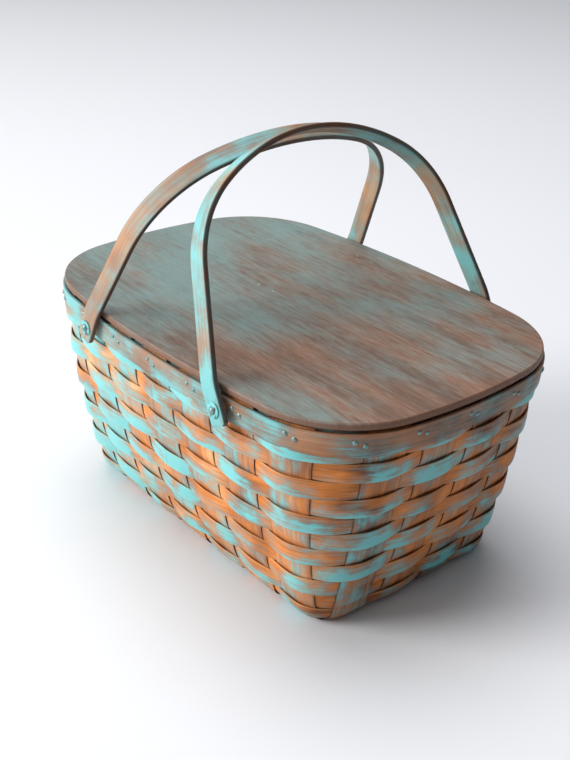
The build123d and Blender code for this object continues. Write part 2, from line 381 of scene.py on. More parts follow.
def ring_strip(name, heights, depths, edges, offset_at, raised_at, seed, lift=0.0, lean=0.0):
    """A closed strip round the wall. Each section point has its own height and depth."""
    loops = [outline(height) for height in heights]
    lengths = run_lengths(loops[len(loops) // 2][0])[:-1]
    count = len(lengths)
    size = len(heights)
    rings = np.zeros((count, size, 3))
    strip = np.zeros((count, size, 3))
    edge = np.zeros((count, size))
    raised = np.zeros((count, size))
    middle = sum(heights) / size
    reach = max(heights) - middle
    for j in range(size):
        points, normals = loops[j]
        out = depths[j] + offset_at - MID_SKIN + lean * (1 - (heights[j] - middle) / reach) / 2
        rings[:, j, :2] = points + normals * out[:, None]
        rings[:, j, 2] = heights[j] + lift
        strip[:, j, 0] = lengths
        strip[:, j, 1] = heights[j] - middle
        strip[:, j, 2] = seed
        edge[:, j] = edges[j]
        raised[:, j] = raised_at
    return swept_mesh(name, rings, strip, edge, raised, True)


# ---- materials ----
def node(tree, kind, links, stops=(), **settings):
    """Adds a node with its settings, its links, its plain socket values and a ramp's stops."""
    made = tree.nodes.new(kind)
    for key, value in settings.items():
        setattr(made, key, value)
    for socket, source in links.items():
        target = made.inputs[socket]
        if isinstance(source, bpy.types.NodeSocket):
            tree.links.new(source, target)
        elif target.type == "RGBA":
            target.default_value = (*source, 1)
        else:
            target.default_value = source
    for number, (position, colour) in enumerate(stops):
        if number >= len(made.color_ramp.elements):
            made.color_ramp.elements.new(1.0)
        made.color_ramp.elements[number].position = position
        made.color_ramp.elements[number].color = (*colour, 1)
    return made


def grey(value):
    return (value, value, value)


def grain(tree, vector, scale, detail, rough, offset=(0, 0, 0)):
    """A fractal grain on a vector, drawn out by a scale for each axis, per unit of that vector."""
    placed = node(tree, "ShaderNodeMapping", {"Vector": vector, "Scale": scale, "Location": offset})
    links = {"Vector": placed.outputs[0], "Scale": 1.0, "Detail": detail, "Roughness": rough}
    return node(tree, "ShaderNodeTexNoise", links, noise_dimensions="3D").outputs[0]


def layered(tree, base, centred, plain=()):
    """A base value with fields laid over it, each times its share; a centred one varies about zero."""
    result = base - sum(share for _, share in centred) / 2
    for field, share in (*centred, *plain):
        links = {0: field, 1: share, 2: result}
        result = node(tree, "ShaderNodeMath", links, operation="MULTIPLY_ADD").outputs[0]
    return result


def start_material(name):
    material = bpy.data.materials.new(name)
    material.use_nodes = True
    tree = material.node_tree
    tree.nodes.clear()
    return material, tree


def close_material(tree, colour, roughness, bump, distance, specular=0.4, metallic=0.0):
    raised = node(tree, "ShaderNodeBump", {"Height": bump, "Distance": distance, "Strength": 1.0})
    shader = node(
        tree,
        "ShaderNodeBsdfPrincipled",
        {
            "Base Color": colour,
            "Roughness": roughness,
            "Normal": raised.outputs[0],
            "Specular IOR Level": specular,
            "Metallic": metallic,
        },
    )
    node(tree, "ShaderNodeOutputMaterial", {0: shader.outputs[0]})


def brightened(colour, gain):
    """A colour made brighter or darker, each channel at most 1."""
    return tuple(min(c * gain, 1) for c in colour)


def dry_brushed_splint(
    name,
    cover,
    edge_hue,
    raised_gain=0.0,
    edge_share=0.5,
    fineness=1.0,
    shade=1.0,
    patchy=2.4,
    fade=0.7,
    low_gain=0.0,
    film=0.08,
    greyness=0.1,
):
    """Ash splint, stained orange-brown, with turquoise chalk paint dragged thinly over it.

    The brush catches what stands proud and skips the grain, so paint lies in soft streaks
    along each splint, gathers on the raised crossings and thins out at the edges.
    """
    hues = colours()
    material, tree = start_material(name)
    strip = node(tree, "ShaderNodeAttribute", {}, attribute_name="strip").outputs["Vector"]
    edge = node(tree, "ShaderNodeAttribute", {}, attribute_name="edge").outputs["Fac"]
    raised = node(tree, "ShaderNodeAttribute", {}, attribute_name="raised").outputs["Fac"]
    place = node(tree, "ShaderNodeTexCoord", {}).outputs["Object"]
    across = node(tree, "ShaderNodeSeparateXYZ", {0: strip}).outputs["Y"]
    end_to_end = node(tree, "ShaderNodeSeparateXYZ", {0: place}).outputs["X"]

    # ash pores run for 20 to 60 mm and are 0.5 to 1 mm apart; stain pools over 30 mm, and the
    # wood is darkened towards the right-hand end as painted shade, for the end wall turned away from the
    # light
    fine = grain(tree, strip, (0.035, 1.3 * fineness, 3.1), 4.0, 0.62)
    broad = grain(tree, strip, (0.02, 0.16 * fineness, 7.3), 3.0, 0.5, (11, 3, 5))
    stain = grain(tree, place, (22.0, 22.0, 22.0), 2.0, 0.5, (2.0, 5.0, 1.0))
    tone = layered(tree, 0.5, [(fine, 0.45), (broad, 0.4), (stain, 0.7)], [(end_to_end, -0.42)])
    wood_stops = [
        (0.24, brightened(hues.wood_dark, shade)),
        (0.40, brightened(hues.wood, 0.68 * shade)),
        (0.53, brightened(hues.wood, shade)),
        (0.76, brightened(hues.wood_pale, shade)),
    ]
    wood = node(tree, "ShaderNodeValToRGB", {0: tone}, wood_stops).outputs["Color"]

    # brush marks are 3 mm wide and 40 mm long, bristle lines under 1 mm; a coat covers a palm
    marks = grain(tree, strip, (0.022, 0.30 * fineness, 5.7), 3.0, 0.62, (2, 7, 1))
    bristles = grain(tree, strip, (0.05, 1.9 * fineness, 1.7), 4.0, 0.7, (5, 1, 9))
    patches = grain(tree, place, (20.0, 20.0, 27.0), 5.0, 0.62, (0.3, 1.9, 0.4))
    per_strip = grain(tree, strip, (0.017, 0.02, 13.7), 2.0, 0.5, (1, 4, 2))
    amount = layered(
        tree,
        cover,
        [(marks, 0.95), (bristles, 0.8), (patches, patchy), (per_strip, 1.4), (raised, raised_gain)],
        [(end_to_end, -fade), (across, -low_gain)],
    )
    cover_stops = [
        (0.18, grey(film)),
        (0.45, grey(0.30 + 0.4 * film)),
        (0.64, grey(0.66)),
        (0.9, grey(0.94)),
    ]
    mask = node(tree, "ShaderNodeValToRGB", {0: amount}, cover_stops).outputs["Color"]

    # where the coat is thin, the stain bleeds through it and greys it
    thin = tuple(0.6 * c + 0.06 for c in hues.paint_deep)
    paint_stops = [(0.35, thin), (0.62, tuple(hues.paint_deep)), (0.85, tuple(hues.paint))]
    coat = node(tree, "ShaderNodeValToRGB", {0: amount}, paint_stops).outputs["Color"]
    links = {0: greyness, 6: coat, 7: tuple(hues.wash)}
    coat = node(tree, "ShaderNodeMix", links, data_type="RGBA").outputs[2]
    ridges = node(tree, "ShaderNodeMath", {0: bristles, 1: 0.35}, operation="MULTIPLY").outputs[0]
    links = {0: ridges, 6: coat, 7: brightened(hues.paint, 0.5)}
    paint = node(tree, "ShaderNodeMix", links, data_type="RGBA").outputs[2]
    colour = node(tree, "ShaderNodeMix", {0: mask, 6: wood, 7: paint}, data_type="RGBA").outputs[2]

    # the cut edges take the edge hue: a pale one where they are rubbed bare, a dark one as painted shade
    # along the stake and strap edges
    edge_stops = [(0.45, grey(0.0)), (1.0, grey(edge_share))]
    worn = node(tree, "ShaderNodeValToRGB", {0: edge}, edge_stops).outputs["Color"]
    links = {0: worn, 6: colour, 7: edge_hue}
    colour = node(tree, "ShaderNodeMix", links, data_type="RGBA").outputs[2]

    height = layered(tree, 0.0, [(fine, 0.5), (bristles, 0.3)], [(mask, 0.25)])
    rough = layered(tree, 0.58, [], [(mask, -0.12)])
    close_material(tree, colour, rough, height, 0.0003)
    return material


def washed_board():
    """Pine board stained brown under a thin grey-green wash that was wiped along the grain."""
    hues = colours()
    material, tree = start_material("washed_pine_board")
    place = node(tree, "ShaderNodeTexCoord", {}).outputs["Object"]
    edge = node(tree, "ShaderNodeAttribute", {}, attribute_name="edge").outputs["Fac"]
    end_to_end = node(tree, "ShaderNodeSeparateXYZ", {0: place}).outputs["X"]

    # pores 15 mm long and 0.6 mm apart run along the board, over bands 20 mm apart
    pores = grain(tree, place, (60.0, 1500.0, 60.0), 5.0, 0.7)
    bands = grain(tree, place, (4.0, 45.0, 10.0), 4.0, 0.6, (3, 1, 2))
    wipes = grain(tree, place, (28.0, 260.0, 20.0), 5.0, 0.7, (7, 2, 9))
    clouds = grain(tree, place, (9.0, 14.0, 3.0), 5.0, 0.62, (0.7, 2.3, 0.1))
    tone = layered(tree, 0.5, [(pores, 0.7), (bands, 0.45), (wipes, 0.3)])
    wood_stops = [
        (0.33, brightened(hues.lid_wood, 0.45)),
        (0.5, tuple(hues.lid_wood)),
        (0.68, brightened(hues.lid_wood, 1.9)),
    ]
    wood = node(tree, "ShaderNodeValToRGB", {0: tone}, wood_stops).outputs["Color"]

    # more of the wash was left at the left-hand end
    amount = layered(tree, 0.5, [(wipes, 1.0), (clouds, 1.7), (pores, 0.7)], [(end_to_end, -1.1)])
    wash_stops = [(0.2, grey(0.08)), (0.5, grey(0.42)), (0.85, grey(0.8))]
    mask = node(tree, "ShaderNodeValToRGB", {0: amount}, wash_stops).outputs["Color"]
    links = {0: pores, 6: brightened(hues.wash, 0.75), 7: brightened(hues.wash, 1.25)}
    wash = node(tree, "ShaderNodeMix", links, data_type="RGBA").outputs[2]
    colour = node(tree, "ShaderNodeMix", {0: mask, 6: wood, 7: wash}, data_type="RGBA").outputs[2]
    edge_stops = [(0.3, grey(0.0)), (0.8, grey(0.85)), (1.0, grey(0.25))]
    worn = node(tree, "ShaderNodeValToRGB", {0: edge}, edge_stops).outputs["Color"]
    links = {0: worn, 6: colour, 7: tuple(c * 1.1 for c in hues.lid_wood)}
    colour = node(tree, "ShaderNodeMix", links, data_type="RGBA").outputs[2]
    rough = layered(tree, 0.55, [], [(pores, -0.1)])
    close_material(tree, colour, rough, pores, 0.0002, 0.35)
    return material


def painted_nail():
    """Steel brads and rivets, domed by the hammer and rubbed with the same paint."""
    hues = colours()
    material, tree = start_material("painted_steel_nail")
    place = node(tree, "ShaderNodeTexCoord", {}).outputs["Object"]
    # specks of paint 1 to 2 mm across cling to the head
    specks = grain(tree, place, (420.0, 420.0, 420.0), 3.0, 0.6)
    speck_stops = [(0.42, grey(0.0)), (0.58, grey(1.0))]
    mask = node(tree, "ShaderNodeValToRGB", {0: specks}, speck_stops).outputs["Color"]
    links = {0: mask, 6: linear("8f948e"), 7: brightened(hues.paint_deep, 0.75)}
    colour = node(tree, "ShaderNodeMix", links, data_type="RGBA").outputs[2]
    rough = layered(tree, 0.26, [], [(mask, 0.2)])
    close_material(tree, colour, rough, specks, 0.0001, 0.5, 0.55)
    return material


def painted_washer():
    """Pressed steel washer under a coat of turquoise that has chipped at the rim."""
    hues = colours()
    material, tree = start_material("painted_steel_washer")
    place = node(tree, "ShaderNodeTexCoord", {}).outputs["Object"]
    # chips are 2 to 4 mm across and show dark rusted steel
    chips = grain(tree, place, (260.0, 260.0, 260.0), 4.0, 0.65, (1, 2, 3))
    chip_stops = [(0.38, grey(0.0)), (0.48, grey(1.0))]
    mask = node(tree, "ShaderNodeValToRGB", {0: chips}, chip_stops).outputs["Color"]
    links = {0: chips, 6: tuple(hues.paint_deep), 7: tuple(hues.paint)}
    paint = node(tree, "ShaderNodeMix", links, data_type="RGBA").outputs[2]
    links = {0: mask, 6: linear("4a3c34"), 7: paint}
    colour = node(tree, "ShaderNodeMix", links, data_type="RGBA").outputs[2]
    rough = layered(tree, 0.38, [], [(mask, 0.12)])
    close_material(tree, colour, rough, chips, 0.00015, 0.5, 0.0)
    return material


def chalky_floor():
    """Matt painted board, pale and almost even."""
    material, tree = start_material("matt_painted_floor")
    place = node(tree, "ShaderNodeTexCoord", {}).outputs["Object"]
    cloud = grain(tree, place, (1.4, 1.4, 1.4), 4.0, 0.5)
    tint = tuple(colours().floor)
    links = {0: cloud, 6: brightened(tint, 0.97), 7: tint}
    colour = node(tree, "ShaderNodeMix", links, data_type="RGBA").outputs[2]
    close_material(tree, colour, 0.55, cloud, 0.0002, 0.3)
    return material


# ---- pieces ----
class BASKET_OT_weavers(bpy.types.Operator):
    """Weave the horizontal splints in and out of the stakes"""

    bl_idname = "basket.weavers"
    bl_label = "Weavers"

    def execute(self, context):
        size = sizes()
        rng = np.random.default_rng(SEED)
        pale = tuple(c * 0.6 for c in colours().wood_pale)
        material = dry_brushed_splint(
            "dry_brushed_ash_weaver",
            cover=0.54,
            edge_hue=pale,
            raised_gain=0.42,
            edge_share=0.45,
            patchy=2.3,
            fade=0.6,
            low_gain=0.022,
            film=0.02,
            greyness=0.06,
        )
        half = size.weaver_width / MM / 2
        thick = size.splint / MM / 2
        for number in range(ROWS):
            row = ROWS - 1 - number
            middle = size.first_row / MM + number * size.row_pitch / MM
            section = band_section(half, thick, 0.35, 7)
            heights = [max(middle + a * 0.975, 0.7) for a, _, _ in section]
            points, _ = outline(middle)
            lengths = run_lengths(points)
            total = lengths[-1]
            lengths = lengths[:-1]
            offsets, raised = weave_offsets(lengths, row, middle, size.weave_depth / MM, size.bulge / MM)
            offsets = offsets + wobble(rng, lengths, total, 0.12)
            lift = wobble(rng, lengths, total, 0.22, 6) * min(number, 1)
            name = f"weaver_{number + 1:02d}"
            mesh = ring_strip(
                "woven_" + name,
                heights,
                [d for _, d, _ in section],
                [e for _, _, e in section],
                offsets,
                raised,
                number * 3.0,
                lift,
                size.lean / MM * (0.35 + 0.65 * raised) * min(number, 1),
            )
            finish_piece(new_object("woven_" + name, mesh), name, "basket", material)
        return {"FINISHED"}


def stake_profile(wall):
    """Points and outward normals of a stake's line: up one wall from the middle of the base."""
    radius = FOOT_ROUND - MID_SKIN
    slope = FOOT_SLOPE
    top = FOOT_ROUND - radius * sin(slope)
    centre = (wall(top) - radius * cos(slope), FOOT_ROUND)
    line = []
    for t in np.linspace(0, 1, 44, endpoint=False):
        line.append((centre[0] * t, FOOT_ROUND - radius, 0.0, -1.0))
    for angle in np.linspace(-pi / 2, -slope, 12, endpoint=False):
        out, down = cos(angle), sin(angle)
        line.append((centre[0] + radius * out, centre[1] + radius * down, out, down))
    for z in np.linspace(top, STAKE_TOP, 74):
        line.append((wall(z), z, 1.0, 0.0))
    return np.array(line)


def stake_offset(z, crossing, size, depth):
    """A stake gives way a little, away from the weaver that covers it."""
    low = size.first_row / MM
    place = (z - low) / (size.row_pitch / MM)
    number = int(round(min(max(place, 0), ROWS - 1)))
    near = cos(min(abs(place - number), 0.5) * pi)
    row = ROWS - 1 - number
    sign = -1.0 if passes_over(row, crossing) else 1.0
    return sign * depth * near * (1.6 if sign > 0 else 1.0)


def build_stake(name, number, crosswise, material):
    """One upright splint: down a wall, under the base and up the other wall."""
    size = sizes()
    half = size.stake_width / MM / 2
    thick = size.splint / MM / 2
    count = CROSS_STAKES if crosswise else LONG_STAKES
    pitch = CROSS_PITCH if crosswise else LONG_PITCH
    place = number - (count - 1) / 2
    section = band_section(half, thick, 0.0, 9)
    seed = 40.0 + number * 3.7 + (0 if crosswise else 31.0)
    cache = {}

    def quarter(z):
        key = round(z, 2)
        if key not in cache:
            points, normals = quarter_outline(z)
            cache[key] = points - normals * MID_SKIN
        return cache[key]

    def wall_reach(across, z):
        points = quarter(z)
        if crosswise:
            return np.interp(abs(across), points[:, 0], points[:, 1])
        return np.interp(abs(across), points[::-1, 1], points[::-1, 0])

    base_level = thick if crosswise else 3 * thick + 0.1
    rows = []
    for side in (-1, 1):
        if crosswise:
            crossing = number if side < 0 else 2 * CROSS_STAKES + LONG_STAKES - 1 - number
        else:
            crossing = CROSS_STAKES + number if side > 0 else 2 * (CROSS_STAKES + LONG_STAKES) - 1 - number
        columns = []
        for a, d, e in section:
            line = stake_profile(lambda z: wall_reach(place * mix(pitch, z / RIM_HEIGHT) + a, z))
            points = []
            run = 0.0
            last = None
            for reach, z, out, down in line:
                give = 0.0
                if z > 4 and out > 0.3:
                    give = stake_offset(z, crossing, size, 0.45) * min((z - 4) / 12, 1)
                if out == 0.0:
                    level = base_level + d + under_weave(reach * side, crosswise, number, size)
                    point = (reach, max(level, 0.02) if d <= 0 else level)
                else:
                    sink = (MID_SKIN - base_level) * max(-down, 0)
                    point = (reach + out * (d + give), z + down * (d + give) - sink)
                if last is not None:
                    run += hypot(point[0] - last[0], point[1] - last[1])
                last = point
                fan = place * mix(pitch, max(z, 0) / RIM_HEIGHT) + a
                points.append((point[0] * side, point[1], fan, run * side, e, give))
            columns.append(points)
        block = np.array(columns).transpose(1, 0, 2)
        rows.append(block[::-1] if side < 0 else block[1:])
    grid = np.vstack(rows)
    rings = np.zeros(grid.shape[:2] + (3,))
    across = 1 if crosswise else 0
    rings[..., across] = grid[..., 0]
    rings[..., 1 - across] = grid[..., 2]
    rings[..., 2] = grid[..., 1]
    strip = np.zeros_like(rings)
    strip[..., 0] = grid[..., 3]
    strip[..., 1] = np.array([a for a, _, _ in section])[None, :]
    strip[..., 2] = seed
    raised = np.clip(0.5 + grid[..., 5], 0, 1)
    mesh = swept_mesh("splint_" + name, rings, strip, grid[..., 4], raised, False)
    return finish_piece(new_object("splint_" + name, mesh), name, "basket", material)


def under_weave(reach, crosswise, number, size):
    """Under the base the two sets of stakes are woven through each other."""
    pitch = LONG_PITCH[0] if crosswise else CROSS_PITCH[0]
    count = LONG_STAKES if crosswise else CROSS_STAKES
    place = reach / pitch + (count - 1) / 2
    nearest = int(round(min(max(place, 0), count - 1)))
    close = cos(min(abs(place - nearest), 0.5) * pi)
    over = (nearest + number) % 2 == (0 if crosswise else 1)
    lift = size.splint / MM + 0.1
    if crosswise:
        return lift * close if over else 0.0
    return 0.0 if over else -lift * close


class BASKET_OT_stakes(bpy.types.Operator):
    """Lay the upright splints through the weavers and under the base"""

    bl_idname = "basket.stakes"
    bl_label = "Stakes"

    def execute(self, context):
        # the stake edges are darkened as painted shade, for the shadowed gaps where the weavers pass under
        # the stakes
        painted_edge_shade = tuple(c * 0.35 for c in colours().wood_dark)
        material = dry_brushed_splint(
            "dry_brushed_ash_stake",
            cover=0.42,
            edge_hue=painted_edge_shade,
            raised_gain=0.3,
            edge_share=0.95,
            greyness=0.2,
        )
        for number in range(CROSS_STAKES):
            build_stake(f"cross_stake_{number + 1}", number, True, material)
        for number in range(LONG_STAKES):
            build_stake(f"long_stake_{number + 1}", number, False, material)
        return {"FINISHED"}


class BASKET_OT_rim(bpy.types.Operator):
    """Bend the two rim bands round the top of the weave"""

    bl_idname = "basket.rim"
    bl_label = "Rim bands"

    def execute(self, context):
        size = sizes()
        rng = np.random.default_rng(SEED + 2)
        material = dry_brushed_splint(
            "dry_brushed_rim_band",
            cover=0.62,
            edge_hue=tuple(colours().wood_dark),
            fineness=1.5,
            shade=0.66,
            patchy=1.7,
            fade=1.1,
            film=0.2,
            greyness=0.32,
        )
        thick = size.band / MM / 2
        for name, middle_skin, top, height in (
            ("rim_band_outer", -1.6, 214.4, 22.0),
            ("rim_band_inner", 5.7, 216.2, 24.0),
        ):
            section = band_section(height / 2, thick, 0.15 if middle_skin < 0 else 0.0, 7)
            heights = [top - height / 2 + a for a, _, _ in section]
            points, _ = outline(top - height / 2)
            lengths = run_lengths(points)
            total = lengths[-1]
            lengths = lengths[:-1]
            offsets = MID_SKIN - middle_skin + wobble(rng, lengths, total, 0.1, 5)
            mesh = ring_strip(
                "bent_" + name,
                heights,
                [d for _, d, _ in section],
                [e for _, _, e in section],
                offsets,
                np.full_like(lengths, 0.5),
                90.0 + thick + middle_skin,
                wobble(rng, lengths, total, 0.15, 5),
            )
            finish_piece(new_object("bent_" + name, mesh), name, "basket", material)
        return {"FINISHED"}


def strap_path(height, leg_lean, leg_length, shoulder, strap):
    """Half of a handle's middle line from the foot to the crown, with outward normals."""
    lean = radians(leg_lean)
    mid = strap / 2
    bend_x = STRAP_SPAN - LEG_BEND
    leg_x = bend_x + LEG_BEND * cos(lean) - leg_length * sin(lean)
    leg_y = LEG_UPRIGHT + LEG_BEND * sin(lean) + leg_length * cos(lean)
    shoulder_x = leg_x - shoulder * cos(lean)
    shoulder_y = leg_y - shoulder * sin(lean)
    inside = height - mid
    drop = inside - shoulder_y
    crown = (shoulder_x**2 + drop**2 - shoulder**2) / (2 * (drop - shoulder))
    turn = atan2(shoulder_y - inside + crown, shoulder_x)
    line = []
    for t in np.linspace(-FOOT_LENGTH, LEG_UPRIGHT, 12, endpoint=False):
        line.append((STRAP_SPAN + mid, t, 1.0, 0.0))
    for angle in np.linspace(0, lean, 6, endpoint=False):
        reach = LEG_BEND + mid
        line.append((bend_x + reach * cos(angle), LEG_UPRIGHT + reach * sin(angle), cos(angle), sin(angle)))
    start = (bend_x + (LEG_BEND + mid) * cos(lean), LEG_UPRIGHT + (LEG_BEND + mid) * sin(lean))
    for t in np.linspace(0, leg_length, 24, endpoint=False):
        line.append((start[0] - t * sin(lean), start[1] + t * cos(lean), cos(lean), sin(lean)))
    for angle in np.linspace(lean, turn, 36, endpoint=False):
        reach = shoulder + mid
        out, up = cos(angle), sin(angle)
        line.append((shoulder_x + reach * out, shoulder_y + reach * up, out, up))
    for angle in np.linspace(turn, pi / 2, 26):
        reach = crown + mid
        line.append((reach * cos(angle), inside - crown + reach * sin(angle), cos(angle), sin(angle)))
    return np.array(line)


class BASKET_OT_handles(bpy.types.Operator):
    """Bend the two straps that lean in over the lid"""

    bl_idname = "basket.handles"
    bl_label = "Handles"

    def execute(self, context):
        size = sizes()
        strap = size.strap / MM
        half = size.strap_width / MM / 2
        # the strap edges are darkened as painted shade, for the thickness faces turned away from the light
        dark = tuple(c * 0.5 for c in colours().wood_dark)
        material = dry_brushed_splint(
            "dry_brushed_bent_strap",
            cover=0.66,
            edge_hue=dark,
            edge_share=0.85,
            fineness=2.6,
            shade=0.72,
            patchy=1.3,
            fade=-0.9,
            film=0.26,
            greyness=0.3,
        )
        rng = np.random.default_rng(SEED + 3)
        for name, (side, height, lean, leg, shoulder, rest) in HANDLES.items():
            path = strap_path(height, lean, leg, shoulder, strap)
            full = np.vstack((path * (-1, 1, -1, 1), path[::-1][1:]))
            tilt = radians(rest)
            up = np.array((-side * sin(tilt), 0, cos(tilt)))
            through = np.array((side * cos(tilt), 0, sin(tilt)))
            pivot = np.array((side * PIVOT[0], 0, PIVOT[1]))
            steps = np.concatenate(((0.0,), np.cumsum(np.hypot(*np.diff(full[:, :2], axis=0).T))))
            total = steps[-1]
            twist = wobble(rng, steps, total, 0.008, 3)
            rings = []
            strip = []
            edges = []
            for (y, h, ny, nh), run, turn in zip(full, steps, twist):
                end = min(run, total - run)
                narrow = 1.0 if end > 3.5 else sqrt(1 - ((3.5 - end) / 3.5) ** 2 * 0.45)
                fade = min(end / 60, 1)
                section = []
                for a, d, e in band_section(half * narrow, strap / 2, 0.0, 7):
                    out = d + a * sin(turn) * fade
                    base = pivot + up * h + np.array((0, y, 0)) + through * a
                    base = base + out * (np.array((0, ny, 0)) + up * nh)
                    section.append(base)
                    strip.append((run, a + (40 if d < 0 else 0), 130.0 + side * 5))
                    edges.append(e)
                rings.append(section)
            count = len(edges)
            mesh = swept_mesh("bent_handle_" + name, rings, strip, edges, [0.5] * count, False)
            piece = new_object("bent_handle_" + name, mesh)
            only(piece)
            rounding = piece.modifiers.new("Rounding", "BEVEL")
            rounding.width = 0.0006
            rounding.segments = 2
            rounding.limit_method = "ANGLE"
            rounding.angle_limit = radians(40)
            bpy.ops.object.modifier_apply(modifier=rounding.name)
            finish_piece(piece, "handle_" + name, "handle_" + name, material)
        return {"FINISHED"}


class BASKET_OT_lid(bpy.types.Operator):
    """Cut the lid board and the batten that holds it flat"""

    bl_idname = "basket.lid"
    bl_label = "Lid"

    def execute(self, context):
        material = washed_board()
        low = LID_LOW.z / MM
        high = LID_HIGH.z / MM
        points, normals = lid_outline()
        profile = (
            (-1.6, low, 0.2),
            (-0.4, low + 0.5, 0.6),
            (0.0, low + 1.6, 0.8),
            (0.0, high - 1.9, 0.8),
            (-0.3, high - 0.8, 1.0),
            (-1.2, high, 0.9),
            (-2.6, high, 0.1),
            (-7.0, high, 0.0),
        )
        rings = [
            np.column_stack((points + normals * inset, np.full(len(points), height)))
            for inset, height, _ in profile
        ]
        edges = [[e] * len(points) for _, _, e in profile]
        count = len(points)
        size = len(profile)
        faces = []
        for i in range(size - 1):
            for j in range(count):
                k = (j + 1) % count
                faces.append((i * count + j, i * count + k, (i + 1) * count + k, (i + 1) * count + j))
        faces.append(tuple(range(count))[::-1])
        faces.append(tuple((size - 1) * count + j for j in range(count)))
        mesh = bpy.data.meshes.new("washed_lid_board")
        mesh.from_pydata((np.vstack(rings) * MM).tolist(), [], faces)
        worn = mesh.attributes.new("edge", "FLOAT", "POINT")
        worn.data.foreach_set("value", np.array(edges, float).reshape(-1))
        finish_piece(new_object("washed_lid_board", mesh), "lid_board", "lid", material, 25)

        box_low, box_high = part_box("lid_batten")
        bpy.ops.object.select_all(action="DESELECT")
        bpy.ops.mesh.primitive_cube_add(size=1, location=(box_low + box_high) / 2)
        batten = context.object
        batten.name = "planed_lid_batten"
        batten.scale = box_high - box_low
        bpy.ops.object.transform_apply(location=True, rotation=True, scale=True)
        rounding = batten.modifiers.new("Rounding", "BEVEL")
        rounding.width = 0.0012
        rounding.segments = 3
        bpy.ops.object.modifier_apply(modifier=rounding.name)
        finish_piece(batten, "lid_batten", "lid", material)
        return {"FINISHED"}


def lid_outline():
    """The lid board's edge line, anticlockwise, with outward normals, from the CAD board's own size."""
    half_length = LID_HIGH.x / MM
    half_width = LID_HIGH.y / MM
    points, normals = rounded_quarter(half_length, half_width, *TOP_BOW, LID_CORNER, (40, 30, 20))
    return whole_loop(points), whole_loop(normals)


def turned_piece(name, profile, origin, axis):
    """Spins a profile of (radius, distance out) points about an axis through its origin."""
    axis = Vector(axis).normalized()
    side = axis.orthogonal().normalized()
    mesh = bpy.data.meshes.new(name)
    points = [Vector(origin) + side * r * MM + axis * d * MM for r, d in profile]
    mesh.from_pydata(points, [(i, i + 1) for i in range(len(points) - 1)], [])
    piece = new_object(name, mesh)
    only(piece)
    bpy.ops.object.mode_set(mode="EDIT")
    bpy.ops.mesh.select_all(action="SELECT")
    bpy.ops.mesh.spin(steps=24, angle=2 * pi, center=Vector(origin), axis=axis)
    bpy.ops.mesh.select_all(action="SELECT")
    bpy.ops.mesh.remove_doubles(threshold=0.00001)
    bpy.ops.mesh.normals_make_consistent(inside=False)
    bpy.ops.object.mode_set(mode="OBJECT")
    return piece


def joined(name, pieces):
    """Joins like pieces into one object."""
    bpy.ops.object.select_all(action="DESELECT")
    for piece in pieces:
        piece.select_set(True)
    bpy.context.view_layer.objects.active = pieces[0]
    bpy.ops.object.join()
    pieces[0].name = name
    return pieces[0]


def solids_of(name):
    """The points of each separate solid in a CAD node."""
    source = bpy.data.objects[name] if name in bpy.data.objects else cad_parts[name]
    work = bmesh.new()
    work.from_mesh(source.data)
    bmesh.ops.remove_doubles(work, verts=work.verts, dist=1e-6)
    left = set(work.verts)
    groups = []
    while left:
        todo = [left.pop()]
        group = [todo[0]]
        while todo:
            here = todo.pop()
            for link in here.link_edges:
                other = link.other_vert(here)
                if other in left:
                    left.remove(other)
                    todo.append(other)
                    group.append(other)
        groups.append([v.co.copy() for v in group])
    work.free()
    return groups


def moved_out(profile, start):
    """A turned profile's (radius, distance) points, with the distances from a new start."""
    return [(radius, start + distance) for radius, distance in profile]


